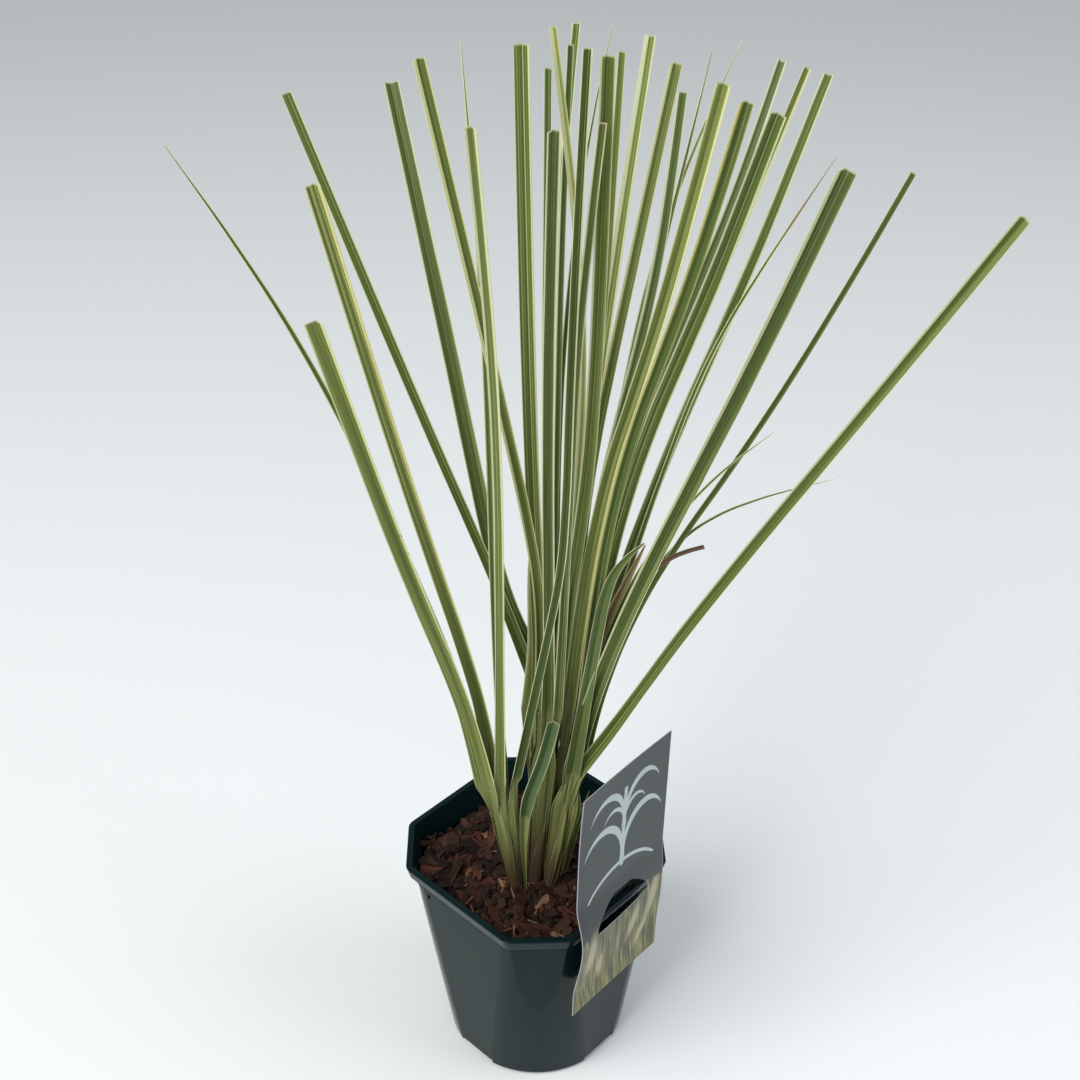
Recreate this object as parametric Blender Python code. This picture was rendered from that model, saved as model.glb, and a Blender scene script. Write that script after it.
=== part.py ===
"""Potted pampas grass: a clump of trimmed, variegated grass in a black nursery pot.

The pot is an eight-sided rim on a round, flattened body. It is full of compost under bark chips,
and a printed plant label hangs on its rim. Five shoots of folded leaf sheaths stand in the bark,
and each leaf blade is a V-shaped strip that rises from the top of its shoot.
Origin: centre of the pot's base, on the floor. +Z is up, and -Y is the front.
"""
import math
import random

import bmesh
import bpy
from mathutils import Matrix, Vector

MM = 0.001
GAP = 0.4 * MM              # room left between pieces that rest on each other

# Finishes: linear colour and roughness
POT_COLOUR = (0.016, 0.022, 0.020)
POT_ROUGHNESS = 0.14
BARK_COLOUR = (0.20, 0.10, 0.065)
BARK_ROUGHNESS = 0.9
LABEL_COLOUR = (0.25, 0.29, 0.29)
LABEL_ROUGHNESS = 0.35
SHEATH_COLOUR = (0.21, 0.24, 0.10)
SHEATH_ROUGHNESS = 0.5
LEAF_COLOUR = (0.16, 0.24, 0.075)
LEAF_ROUGHNESS = 0.45
WITHERED_COLOUR = (0.22, 0.13, 0.06)
WITHERED_LEAVES = ("right_leaf_14", "right_leaf_15")

# Pot, sized from a 3 litre nursery pot
POT_HEIGHT = 181.5 * MM
POT_TURN = math.radians(1.4)
RIM_SIDE = 85.0 * MM        # axis to the rim's four long sides
RIM_CHAMFER = 96.8 * MM     # axis to the rim's four short sides
LIP_HEIGHT = 9.8 * MM
LIP_DRAFT = 2.3 * MM        # how far the lip's foot is set in from its top
LIP_TOP = ((-1.4, 0.0), (0.0, 1.3), (0.0, 4.2), (-1.0, 5.0))   # height over the rim and inset, mm
NECK_HEIGHT = 6.5 * MM
NECK_STEP = 1.6 * MM
NECK_FLARE = 0.8 * MM       # height over which the body steps out to the neck
WALL = 1.6 * MM
INNER_STEP = 3.5 * MM       # the inner wall starts this far under the lip's foot
INNER_FOOT = ((8.0, 2.0), (2.4, 3.6))                     # height and inset of the inner foot, mm
CONE_FOOT = 69.6 * MM       # radius of the round body at the floor
CONE_SLOPE = 0.133
SIDE_FOOT = 68.5 * MM       # axis to the flattened long sides, at the floor
SIDE_SLOPE = 0.062
CHAMFER_FOOT = 73.1 * MM    # axis to the narrow front, back, left and right flats
CHAMFER_SLOPE = 0.0935
TUCK = ((0.0, 3.4), (0.8, 2.2), (2.6, 0.9), (7.0, 0.1))   # height and inset of the rounded foot, mm
BODY_LEVELS = (22.0, 45.0, 70.0, 90.0, 110.0, 135.0)      # mm
INNER_LEVELS = (157.0, 135.0, 110.0, 80.0, 45.0)          # mm
SIDE_ANGLES = (-31.4, -24.0, -16.0, -8.0, 0.0, 8.0, 16.0, 24.0)
CHAMFER_ANGLES = (31.4, 38.2, 45.0, 51.8)
DRAIN_SLOT = (16.0 * MM, 34.0 * MM, 13.2 * MM)            # depth, width, and twice the slot's height
DRAIN_SLOT_CENTRE = 67.0 * MM
HANGER_HOLE = (12.0 * MM, 2.6 * MM, 4.4 * MM)             # small slot through the wall under the lip
HANGER_HOLE_ALONG = -35.0 * MM
HANGER_HOLE_Z = 158.5 * MM

# Compost and bark
BARK_TOP = 157.0 * MM
BARK_FLAT = 36.0 * MM       # radius of the flat middle that the shoots stand on
BARK_ROUGH = 2.4 * MM
BARK_HEAP = 12.0 * MM       # the chips are heaped against the left short side
BARK_HEAP_WAY = math.radians(186)
BARK_RINGS = (1.0, 0.93, 0.78, 0.6, 0.42)
BARK_CLEAR = 1.2 * MM       # from the compost to the pot's wall
BARK_FOOT = ((2.8, 5.8), (9.0, 3.6))                      # height and inset of the compost's foot, mm

# Label, a tall card of printed plastic
LABEL_TOP = 313.5 * MM
LABEL_STAND = 85.9 * MM     # axis to the card's back
LABEL_THICK = 0.6 * MM
LABEL_LEAN = 0.028          # sideways drift per unit of height
LABEL_COLUMNS = (-47.0, -38.0, -29.0, -20.0, -10.0, 0.0, 10.0, 20.0, 29.0, 38.0, 47.0)   # mm
LABEL_ROWS = (105.0, 118.0, 134.0, 152.0, 168.0, 178.5, 184.0, 214.0, 240.0, 278.0, 313.5)
EYE_ROW = 5                 # the row along the bottom of the arched opening
EYE_HALF = 29.0
EYE_RISE = 18.5             # height of the arch over the row's ends, mm
TONGUE_HALF = 20.0
TONGUE_ROUTE = ((-3.6, 194.0), (-8.2, 185.5), (-9.6, 178.0), (-9.6, 167.5))   # out from the card, height
CURL_OUT = 5.0 * MM         # how far the lower left corner curls out
CURL_START = (-12.0, 150.0)                               # where the curl starts, along and up, mm

# Sheaths and blades
SHOOT_FOOT = BARK_TOP + GAP
SHOOT_CORNERS = 18
SHOOT_LEVELS = 6
PLEAT = 0.07
BLADE_THICK = 0.7 * MM
BLADE_FOLD = 0.30           # depth of the V as a share of the width
FOOT_WIDTH = 4.6 * MM
CUT_SHARE = 0.88            # width at a cut end as a share of the full width
FINE_SHARE = 0.12           # the same at an uncut tip
FULL_AT = 0.3               # share of the length by which a blade has its full width
BLADE_STEPS = 7

# Each shoot: centre and half sizes at the bark, centre and half sizes at its top (mm), and its
# leaves. Each leaf: width (mm), turn of its upper side from the front (degrees), end, and the
# route from its foot on the shoot's top (x, y) by way of points (x, y, z) to its tip, in mm.
SHOOTS = {
    "left": {
        "foot": (-14, -18, 6.0, 6.0),
        "top": (-25, -23, 13.0, 10.0, 270),
        "leaves": (
            (3.2, 10, "fine", ((-35, -20), (-55, -24, 375), (-123, -30, 591), (-194, -30, 726))),
            (11.5, -15, "cut", ((-33, -28), (-47, -34, 357), (-74, -50, 462), (-112, -90, 654))),
            (8.5, -20, "cut", ((-28, -22), (-38, -27, 358), (-67, -48, 500), (-105, -100, 731))),
            (5.0, 20, "fine", ((-23, -16), (-27, -18, 387), (-29, 10, 585), (-40, 60, 757))),
            (6.5, -20, "cut", ((-23, -30), (-21, -32, 397), (-19, -62, 589), (-26, -120, 765))),
            (6.0, 25, "cut", ((-15, -27), (8, -45, 416), (18, -50, 484), (20, -48, 593), (28, -40, 779))),
        ),
    },
    "front": {
        "foot": (-1, -15, 6.0, 6.0),
        "top": (9, -22, 13.0, 8.5, 330),
        "leaves": (
            (6.5, -30, "cut", ((5, -16), (5, -18, 393), (0, -20, 556), (-3, -20, 776))),
            (6.5, 10, "cut", ((2, -23), (4, -23, 418), (-9, -34, 523), (-55, -60, 780))),
            (6.5, 15, "cut", ((8, -26), (9, -29, 411), (8, -55, 575), (11, -100, 757))),
            (4.5, -20, "cut", ((17, -16), (31, -12, 546), (28, -4, 656), (13, 6, 778))),
            (7.5, 0, "cut", ((13, -21), (26, -26, 456), (36, -29, 560), (40, -31, 773))),
            (5.0, 30, "cut", ((14, -26), (21, -31, 504), (25, -34, 616), (36, -40, 741))),
            (7.0, -15, "fine", ((-2, -17), (-4, -13, 417), (-6, -11, 466))),
        ),
    },
    "back": {
        "foot": (4, 3, 7.0, 5.5),
        "top": (8, 6, 13.5, 10.0, 345),
        "leaves": (
            (7.0, -10, "cut", ((-2, 5), (-31, 10, 436), (-70, 28, 535), (-141, 60, 728))),
            (9.5, 20, "cut", ((1, 10), (-25, 25, 405), (-50, 80, 513), (-94, 180, 698))),
            (5.0, 0, "cut", ((6, 1), (8, 0, 390), (8, 15, 535), (10, 50, 744))),
            (4.5, 35, "cut", ((9, 5), (13, 10, 479), (16, 35, 634), (21, 50, 757))),
            (6.0, -25, "cut", ((8, 12), (14, 45, 496), (19, 105, 632), (30, 160, 741))),
            (3.5, 0, "fine", ((15, 10), (16, 38, 430), (18, 65, 523), (29, 110, 644), (51, 150, 743))),
            (5.5, 25, "cut", ((16, 2), (31, 15, 460), (42, 40, 585), (52, 80, 745))),
            (6.5, -15, "cut", ((18, 7), (31, 25, 454), (50, 70, 593), (75, 140, 738))),
        ),
    },
    "right": {
        "foot": (10, -8, 5.0, 6.0),
        "top": (30, -3, 9.5, 13.0, 330),
        "leaves": (
            (6.5, 20, "cut", ((24, -9), (31, -7, 489), (52, -20, 633), (74, -30, 769))),
            (5.5, -20, "cut", ((24, -3), (46, 15, 491), (76, 45, 610), (91, 80, 721))),
            (4.0, 30, "fine", ((25, 3), (62, 40, 550), (90, 85, 661), (111, 120, 735))),
            (7.0, -30, "cut", ((26, -13), (42, -28, 502), (69, -38, 610), (99, -50, 764))),
            (4.0, 10, "fine", ((28, 7), (57, 50, 530), (87, 115, 631), (137, 180, 725))),
            (6.5, 35, "cut", ((31, -13), (48, -40, 520), (81, -66, 654), (103, -92, 768))),
            (6.5, 0, "cut", ((33, 6), (76, 50, 530), (121, 100, 625), (160, 160, 717))),
            (8.0, -10, "cut", ((32, -8), (58, -26, 514), (98, -38, 642), (126, -56, 751))),
            (6.5, 25, "cut", ((31, 0), (69, 25, 515), (118, 60, 620), (165, 100, 730))),
            (6.5, -20, "cut", ((36, 3), (84, 40, 483), (139, 95, 593), (194, 170, 705))),
            (3.5, 15, "fine", ((37, -1), (93, 20, 532), (129, 40, 606), (182, 60, 688))),
            (2.5, 0, "fine", ((38, -8), (61, -12, 426), (105, -22, 508), (144, -32, 552))),
            (2.5, 10, "fine", ((39, -4), (83, 0, 442), (134, 15, 472), (198, 30, 482))),
            (3.5, -10, "cut", ((37, -12), (60, -14, 412), (84, -16, 450), (109, -18, 462))),
            (5.0, 20, "fine", ((34, -4), (42, -4, 376), (56, -6, 418), (72, -8, 456))),
        ),
    },
    "outer": {
        "foot": (9.5, -19, 3.0, 3.0),
        "top": (28, -22, 6.5, 6.0, 275),
        "leaves": (
            (10.0, 5, "cut", ((26, -19), (45, -24, 372), (82, -38, 490), (123, -75, 628), (149, -120, 745))),
            (6.5, 40, "cut", ((31, -19), (60, -12, 400), (106, 5, 475), (162, 25, 564), (224, 50, 683))),
            (7.5, -25, "cut", ((31, -24), (68, -21, 337), (108, -20, 412), (190, -45, 567), (253, -80, 704))),
            (6.0, 0, "fine", ((26, -25), (40, -27, 390), (49, -32, 450), (69, -36, 476))),
        ),
    },
}

# Leaves that stand in the bark themselves: a trimmed one in front, a young one at the side
BARK_LEAVES = {
    "trimmed_front_leaf": (9.0, 0, "cut", ((-7, -24), (-8, -31, 245), (4, -35, 290), (13, -37, 334))),
    "young_side_leaf": (6.0, 30, "fine", ((19, -8), (27, -9, 200), (39, -6, 239))),
}


def material(name, colour, roughness):
    """One Principled material; nothing on this plant or its pot is metal."""
    made = bpy.data.materials.new(name)
    made.use_nodes = True
    shader = made.node_tree.nodes["Principled BSDF"]
    shader.inputs["Base Color"].default_value = (*colour, 1.0)
    shader.inputs["Roughness"].default_value = roughness
    shader.inputs["Metallic"].default_value = 0.0
    made.diffuse_color = (*colour, 1.0)
    return made


def add_piece(name, shape, finish):
    """Turns a bmesh into a named object with outward faces and its own material."""
    bmesh.ops.recalc_face_normals(shape, faces=shape.faces)
    mesh = bpy.data.meshes.new(name)
    shape.to_mesh(mesh)
    shape.free()
    piece = bpy.data.objects.new(name, mesh)
    bpy.context.scene.collection.objects.link(piece)
    mesh.materials.append(finish)
    mesh.shade_smooth()
    mesh.set_sharp_from_angle(angle=math.radians(35))
    return piece


def loft(rings):
    """A closed solid through rings of points, capped at both ends."""
    shape = bmesh.new()
    made = [[shape.verts.new(point) for point in ring] for ring in rings]
    corners = len(rings[0])
    for lower, upper in zip(made, made[1:]):
        for i in range(corners):
            j = (i + 1) % corners
            shape.faces.new((lower[i], lower[j], upper[j], upper[i]))
    shape.faces.new(reversed(made[0]))
    shape.faces.new(made[-1])
    return shape


def corner_angles():
    """Directions of the pot's corners: four long sides and four short ones between them."""
    angles = []
    for quarter in range(4):
        for angle in SIDE_ANGLES + CHAMFER_ANGLES:
            angles.append(math.radians(45.0 + 90.0 * quarter + angle))
    return angles


def flat_reach(angle, side, chamfer):
    """Distance from the axis to an eight-sided outline in one direction."""
    from_side = (angle - math.radians(45)) % math.radians(90)
    from_side = min(from_side, math.radians(90) - from_side)
    from_chamfer = math.radians(45) - from_side
    return min(side / math.cos(from_side), chamfer / math.cos(from_chamfer))


def body_reach(angle, z):
    """Distance from the axis to the body: a cone with eight flats on it."""
    cone = CONE_FOOT + CONE_SLOPE * z
    flats = flat_reach(angle, SIDE_FOOT + SIDE_SLOPE * z, CHAMFER_FOOT + CHAMFER_SLOPE * z)
    return min(cone, flats)


def pot_ring(z, reach):
    """One level of the pot; reach gives the distance from the axis in each direction."""
    return [Vector((reach(angle) * math.cos(angle + POT_TURN),
                    reach(angle) * math.sin(angle + POT_TURN), z)) for angle in corner_angles()]


def body_ring(z, inset):
    """A level of the body, set in by a distance."""
    return pot_ring(z, lambda angle: body_reach(angle, z) - inset)


def lip_ring(z, inset):
    """A level of the eight-sided lip, set in by a distance."""
    return pot_ring(z, lambda angle: flat_reach(angle, RIM_SIDE - inset, RIM_CHAMFER - inset))


def box_cutter(name, size, place, turn):
    """A hidden box that a Boolean cuts away."""
    shape = bmesh.new()
    bmesh.ops.create_cube(shape, size=1.0)
    cutter = add_piece(name, shape, bpy.data.materials["pot_plastic"])
    cutter.data.transform(Matrix.Diagonal((*size, 1.0)))
    cutter.data.transform(Matrix.Translation(place))
    cutter.data.transform(Matrix.Rotation(turn, 4, "Z"))
    cutter.hide_render = True
    cutter.display_type = "WIRE"
    return cutter


def cut(piece, cutter):
    """Takes a cutter's shape out of a piece."""
    boolean = piece.modifiers.new("cut_" + cutter.name, "BOOLEAN")
    boolean.operation = "DIFFERENCE"
    boolean.object = cutter


def make_pot():
    """Thin moulded wall, stepped neck, drafted lip, drain slots in the foot."""
    neck_foot = POT_HEIGHT - LIP_HEIGHT - NECK_HEIGHT
    lip_foot = POT_HEIGHT - LIP_HEIGHT
    rings = [body_ring(height * MM, inset * MM) for height, inset in TUCK]
    rings += [body_ring(height * MM, 0.0) for height in BODY_LEVELS]
    rings += [body_ring(neck_foot, 0.0), body_ring(neck_foot + NECK_FLARE, -NECK_STEP)]
    rings += [body_ring(lip_foot, -NECK_STEP), lip_ring(lip_foot, LIP_DRAFT)]
    rings += [lip_ring(POT_HEIGHT + height * MM, inset * MM) for height, inset in LIP_TOP]
    rings += [body_ring(lip_foot - INNER_STEP, WALL)]
    rings += [body_ring(height * MM, WALL) for height in INNER_LEVELS]
    rings += [body_ring(height * MM, inset * MM) for height, inset in INNER_FOOT]
    pot = add_piece("pot", loft(rings), material("pot_plastic", POT_COLOUR, POT_ROUGHNESS))
    for quarter in range(4):
        turn = POT_TURN + math.radians(45 + 90 * quarter)
        place = Vector((DRAIN_SLOT_CENTRE, 0, 0))
        cut(pot, box_cutter("drain_cutter_%d" % (quarter + 1), DRAIN_SLOT, place, turn))
    place = Vector((SIDE_FOOT + SIDE_SLOPE * HANGER_HOLE_Z, HANGER_HOLE_ALONG, HANGER_HOLE_Z))
    cut(pot, box_cutter("hanger_cutter", HANGER_HOLE, place, POT_TURN + math.radians(225)))


def bark_height(point, dice):
    """Height of the chips over the flat middle: lumpy, and heaped towards the left."""
    away = point.xy.length
    if away < BARK_FLAT:
        return 0.0
    towards = max(0.0, math.cos(math.atan2(point.y, point.x) - BARK_HEAP_WAY))
    spread = min(1.0, (away - BARK_FLAT) / (RIM_SIDE - BARK_FLAT))
    return BARK_HEAP * spread * towards ** 4 + BARK_ROUGH * dice.uniform(-1.0, 1.0)


def make_bark():
    """Compost that fills the pot, with a lumpy top of bark chips and a flat middle for the shoots."""
    dice = random.Random(7)
    inset = WALL + BARK_CLEAR
    rings = [body_ring(height * MM, foot_inset * MM) for height, foot_inset in BARK_FOOT]
    rings += [body_ring(height * MM, inset) for height in reversed(INNER_LEVELS[1:])]
    edge = body_ring(BARK_TOP, inset)
    for share in BARK_RINGS:
        ring = [Vector((point.x * share, point.y * share, BARK_TOP)) for point in edge]
        rings.append([point + Vector((0, 0, bark_height(point, dice))) for point in ring])
    add_piece("bark_mulch", loft(rings), material("bark", BARK_COLOUR, BARK_ROUGHNESS))


def card_point(along, height, out):
    """A point of the label: along the front right side, up, and out from the card's back."""
    across = math.radians(-45) + POT_TURN
    normal = Vector((math.cos(across), math.sin(across), 0))
    side = Vector((-math.sin(across), math.cos(across), 0))
    drift = LABEL_LEAN * (height * MM - LABEL_TOP)
    return normal * (LABEL_STAND + out) + side * (along * MM + drift) + Vector((0, 0, height * MM))


def card_curl(along, height):
    """How far the card's lower left corner curls away from the pot."""
    left = max(0.0, (CURL_START[0] - along) / (CURL_START[0] - LABEL_COLUMNS[0]))
    low = max(0.0, (CURL_START[1] - height) / (CURL_START[1] - LABEL_ROWS[0]))
    return CURL_OUT * left * low


def make_label():
    """Flat card with an arched opening, whose tongue hooks over the rim into the pot."""
    shape = bmesh.new()
    grid = []
    for row, height in enumerate(LABEL_ROWS):
        line = []
        for along in LABEL_COLUMNS:
            place = height
            if row == EYE_ROW + 1 and abs(along) < EYE_HALF:
                place += EYE_RISE * (1.0 - (along / EYE_HALF) ** 2)
            line.append(shape.verts.new(card_point(along, place, card_curl(along, place))))
        grid.append(line)
    for row in range(len(LABEL_ROWS) - 1):
        for column in range(len(LABEL_COLUMNS) - 1):
            middle = (LABEL_COLUMNS[column] + LABEL_COLUMNS[column + 1]) / 2
            if row == EYE_ROW and abs(middle) < EYE_HALF:
                continue
            shape.faces.new((grid[row][column], grid[row][column + 1],
                             grid[row + 1][column + 1], grid[row + 1][column]))
    edge = [(along, grid[EYE_ROW + 1][LABEL_COLUMNS.index(along)]) for along in LABEL_COLUMNS
            if abs(along) <= TONGUE_HALF]
    for out, height in TONGUE_ROUTE:
        lower = [(along, shape.verts.new(card_point(along, height, out * MM))) for along, _ in edge]
        for (_, a), (_, b), (_, c), (_, d) in zip(edge, edge[1:], lower[1:], lower):
            shape.faces.new((d, c, b, a))
        edge = lower
    label = add_piece("plant_label", shape, material("label_card", LABEL_COLOUR, LABEL_ROUGHNESS))
    card = label.modifiers.new("card", "SOLIDIFY")
    card.thickness = LABEL_THICK
    card.offset = 1.0


def make_shoot(side, plan):
    """Folded leaf sheaths, packed into one pleated stem that widens upwards."""
    foot_x, foot_y, foot_a, foot_b = plan["foot"]
    top_x, top_y, top_a, top_b, top_z = plan["top"]
    rings = []
    for level in range(SHOOT_LEVELS):
        share = level / (SHOOT_LEVELS - 1)
        centre = Vector((foot_x, foot_y, SHOOT_FOOT / MM)).lerp(Vector((top_x, top_y, top_z)), share)
        half_a = foot_a + (top_a - foot_a) * share
        half_b = foot_b + (top_b - foot_b) * share
        ring = []
        for corner in range(SHOOT_CORNERS):
            angle = 2 * math.pi * corner / SHOOT_CORNERS
            pleat = 1.0 - PLEAT * (corner % 2)
            ring.append(Vector((centre.x + half_a * pleat * math.cos(angle),
                                centre.y + half_b * pleat * math.sin(angle), centre.z)) * MM)
        rings.append(ring)
    add_piece("shoot_" + side, loft(rings), material("sheath_" + side, SHEATH_COLOUR, SHEATH_ROUGHNESS))


def smooth_route(points, steps):
    """Points along a Catmull-Rom curve through the given ones."""
    ends = [points[0] * 2 - points[1]] + points + [points[-1] * 2 - points[-2]]
    spans = len(points) - 1
    route = []
    for step in range(steps + 1):
        place = spans * step / steps
        span = min(int(place), spans - 1)
        t = place - span
        a, b, c, d = ends[span:span + 4]
        route.append(0.5 * (2 * b + (c - a) * t + (2 * a - 5 * b + 4 * c - d) * t * t
                            + (3 * b - a - 3 * c + d) * t * t * t))
    return route


def blade_width(share, width, end):
    """Width along a blade: folded narrow at its foot, full by a third, narrower to its end."""
    full = width * MM
    foot = min(FOOT_WIDTH, full)
    last = full * (CUT_SHARE if end == "cut" else FINE_SHARE)
    if share < FULL_AT:
        return foot + (full - foot) * math.sin(share / FULL_AT * math.pi / 2)
    return full + (last - full) * ((share - FULL_AT) / (1.0 - FULL_AT)) ** 2


def make_blade(name, leaf, foot_z):
    """A V-shaped strip along its route, with a level foot just over what carries it."""
    colour = WITHERED_COLOUR if name in WITHERED_LEAVES else LEAF_COLOUR
    width, turn, end, points = leaf
    foot = Vector((*points[0], foot_z / MM + GAP / MM))
    route = smooth_route([foot * MM] + [Vector(point) * MM for point in points[1:]], BLADE_STEPS)
    upper = Vector((math.sin(math.radians(turn)), -math.cos(math.radians(turn)), 0))
    rings = []
    for step, place in enumerate(route):
        share = step / BLADE_STEPS
        along = (route[min(step + 1, BLADE_STEPS)] - route[max(step - 1, 0)]).normalized()
        if step == 0:
            along = Vector((0, 0, 1))
        out = (upper - along * upper.dot(along)).normalized()
        side = along.cross(out)
        half = blade_width(share, width, end) / 2
        rise = 2 * half * BLADE_FOLD
        thick = min(BLADE_THICK, half)
        under = [(-half, rise), (0, 0), (half, rise)]
        over = [(across, up + thick) for across, up in reversed(under)]
        rings.append([place + side * across + out * up for across, up in under + over])
    add_piece(name, loft(rings), material(name, colour, LEAF_ROUGHNESS))


def build():
    """Makes every piece of the potted grass."""
    for old in list(bpy.data.objects):
        bpy.data.objects.remove(old)
    make_pot()
    make_bark()
    make_label()
    for side, plan in SHOOTS.items():
        make_shoot(side, plan)
        for number, leaf in enumerate(plan["leaves"]):
            make_blade("%s_leaf_%d" % (side, number + 1), leaf, plan["top"][4] * MM)
    for name, leaf in BARK_LEAVES.items():
        make_blade(name, leaf, BARK_TOP)


build()
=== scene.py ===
"""Looks of the potted pampas grass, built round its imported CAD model.

The object is put together from the bottom up: pot, compost with bark, leaf sheaths, leaves, label.
"""
import random
from math import acos, atan, atan2, cos, degrees, hypot, pi, radians, sin, sqrt

import bmesh
import bpy
from mathutils import Matrix, Vector


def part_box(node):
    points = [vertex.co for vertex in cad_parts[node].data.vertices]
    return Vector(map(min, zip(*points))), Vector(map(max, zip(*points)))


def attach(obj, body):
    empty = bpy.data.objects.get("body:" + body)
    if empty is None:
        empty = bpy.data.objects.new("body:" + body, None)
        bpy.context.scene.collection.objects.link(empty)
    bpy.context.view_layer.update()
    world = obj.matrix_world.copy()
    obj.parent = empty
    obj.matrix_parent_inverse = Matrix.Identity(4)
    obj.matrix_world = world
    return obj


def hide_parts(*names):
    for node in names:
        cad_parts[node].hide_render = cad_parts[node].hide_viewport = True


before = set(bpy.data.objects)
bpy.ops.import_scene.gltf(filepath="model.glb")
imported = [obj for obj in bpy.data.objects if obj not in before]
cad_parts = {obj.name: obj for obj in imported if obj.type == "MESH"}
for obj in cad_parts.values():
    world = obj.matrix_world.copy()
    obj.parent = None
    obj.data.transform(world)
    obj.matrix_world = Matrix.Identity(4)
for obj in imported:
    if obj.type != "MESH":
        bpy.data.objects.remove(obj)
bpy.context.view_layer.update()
bpy.ops.object.select_all(action="DESELECT")
MM = 0.001


# Floor, light and camera.
# The pot stands on a pale floor that runs past every edge of the picture. One large soft light
# hangs over the left front, a weaker one over the right, and the camera looks down at 33 degrees.
FLOOR_HALF = 12.0
FLOOR_DROP = 0.2 * MM
FLOOR_COLOUR = (0.83, 0.86, 0.87, 1.0)
SKY_COLOUR = (0.88, 0.92, 0.93, 1.0)
SKY_STRENGTH = 0.48
FOCAL_LENGTH = 48.48
SENSOR = 36.0
CAMERA_PLACE = (0.0043, -0.7898, 0.9753)
CAMERA_PITCH = radians(90) - 0.5829
CAMERA_ROLL = -0.0039

bpy.ops.mesh.primitive_plane_add(size=2 * FLOOR_HALF, location=(0, 0, -FLOOR_DROP))
floor = bpy.context.object
floor.name = "floor"
floor_finish = bpy.data.materials.new("pale_floor")
floor_finish.use_nodes = True
floor_shader = floor_finish.node_tree.nodes["Principled BSDF"]
floor_shader.inputs["Base Color"].default_value = FLOOR_COLOUR
floor_shader.inputs["Roughness"].default_value = 0.6
floor.data.materials.append(floor_finish)

sky = bpy.data.worlds.new("soft_daylight")
bpy.context.scene.world = sky
sky.use_nodes = True
sky_sockets = sky.node_tree.nodes["Background"].inputs
sky_sockets["Color"].default_value = SKY_COLOUR
sky_sockets["Strength"].default_value = SKY_STRENGTH


def add_softbox(name, place, aim, size, watts, colour):
    """A square light panel that faces a point."""
    bpy.ops.object.light_add(type="AREA", location=place)
    panel = bpy.context.object
    panel.name = name
    panel.data.size = size
    panel.data.energy = watts
    panel.data.color = colour
    panel.rotation_euler = (Vector(aim) - Vector(place)).to_track_quat("-Z", "Y").to_euler()


add_softbox("key_panel", (-1.6, -1.4, 2.6), (0, 0, 0.3), 2.2, 90, (1.0, 0.99, 0.97))
add_softbox("fill_panel", (2.2, -0.4, 1.8), (0, 0, 0.35), 1.8, 27, (0.94, 0.97, 1.0))
bpy.context.scene.view_settings.view_transform = "Standard"

bpy.ops.object.camera_add()
camera = bpy.context.object
camera.data.lens = FOCAL_LENGTH
camera.data.sensor_width = SENSOR
camera.matrix_world = (Matrix.Translation(CAMERA_PLACE) @ Matrix.Rotation(CAMERA_PITCH, 4, "X")
                       @ Matrix.Rotation(CAMERA_ROLL, 4, "Z"))
bpy.context.scene.camera = camera


# Pot.
# One thin-walled moulding of glossy black-green plastic: a round body with eight flats, a stepped
# neck and an eight-sided drafted lip. Four slots in its foot let water out.
POT_TURN = radians(1.4)
POT_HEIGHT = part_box("pot")[1].z
LIP_FOOT = POT_HEIGHT - 9.8 * MM
NECK_FOOT = LIP_FOOT - 6.5 * MM
NECK_STEP = 1.6 * MM
NECK_FLARE = 0.8 * MM  # height over which the body steps out to the neck
WALL = 1.6 * MM
POT_FLOOR = 2.4 * MM
LIP_WIDTH = 5.0 * MM
LIP_DRAFT = 2.3 * MM
INNER_TOP = LIP_FOOT - 3.5 * MM
RIM_SIDE = 85.0 * MM
RIM_CHAMFER = 96.8 * MM
CONE_SIDES = 240
CONE = (69.6 * MM, 0.133)  # reach from the axis at the floor, and its growth with height
SIDE = (68.5 * MM, 0.062)
CHAMFER = (73.1 * MM, 0.0935)
OPEN_CONE = (150.0 * MM, 0.0)
ROUNDING = 30.0 * MM  # radius of the crease between a long flat and the cone
ROUNDING_END = radians(34)
ROUNDING_STEPS = 7
ROUNDING_LOW = 50.0 * MM  # one of the two heights that its planes pass through
FOOT_EDGE = (3.4 * MM, 5)  # width of a rounded edge, and its steps
LIP_CORNER = (3.5 * MM, 5)
LIP_TOP_EDGE = (1.3 * MM, 4)
LIP_FOOT_EDGE = (0.5 * MM, 2)
MOUTH_EDGE = (1.0 * MM, 3)
CUTTER_OVER = 5.0 * MM  # how far a cutter stands out over what it cuts
SLIVER = 1.5 * MM  # points closer than this are merged at a foot
NEAR = 0.1 * MM  # points closer than this to a place are picked there
POT_CREASE = radians(25)


class Wire:
    """A socket in a material that adds Math nodes when it is reckoned with."""

    def __init__(self, finish, socket):
        self.finish = finish
        self.socket = socket

    def __add__(self, other):
        return self.finish.reckon("ADD", self, other)

    __radd__ = __add__

    def __sub__(self, other):
        return self.finish.reckon("SUBTRACT", self, other)

    def __rsub__(self, other):
        return self.finish.reckon("SUBTRACT", other, self)

    def __mul__(self, other):
        return self.finish.reckon("MULTIPLY", self, other)

    def __pow__(self, other):
        return self.finish.reckon("POWER", self, other)


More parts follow.
